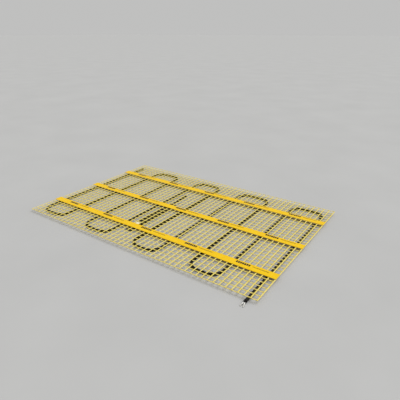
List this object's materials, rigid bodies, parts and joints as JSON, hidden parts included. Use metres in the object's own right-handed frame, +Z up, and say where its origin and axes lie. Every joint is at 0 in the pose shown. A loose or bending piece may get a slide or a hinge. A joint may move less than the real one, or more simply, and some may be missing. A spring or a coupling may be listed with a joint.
{
  "type": "underfloor heating mat",
  "caption": "Flat electric floor-heating mat: a glass-fibre net of square cells, adhesive tapes on top, a heating cable laid to and fro under it, and a floor sensor.",
  "frame": {"origin": "on the floor plane, under the middle of the whole mat's bounding box", "axes": "+X along the tapes towards the end with the cable's free end, +Y from the front edge, where the cable leaves, to the back edge, +Z up, tapes on top"},
  "size_m": [0.756, 0.5224, 0.0098],
  "materials": {
    "net": "coated glass-fibre strands, pale straw colour, slightly uneven",
    "tape": "smooth adhesive tape, bright yellow, satin",
    "cable_sheath": "black cable sheath, satin, faintly grained",
    "core_metal": "stripped stranded cores, tinned",
    "sensor_black": "black flat moulding, matt",
    "sensor_cream": "cream moulding, satin"
  },
  "bodies": {
    "root": {"net_panel_1": "net", "net_panel_2": "net", "net_panel_3": "net", "net_panel_4": "net", "net_panel_5": "net", "tape_1": "tape", "tape_2": "tape", "tape_3": "tape", "heating_cable": "cable_sheath", "core_left": "core_metal", "core_right": "core_metal", "sensor_pocket": "sensor_black", "sensor_tip": "sensor_cream", "sensor_lead": "sensor_black"}
  },
  "joints": []
}
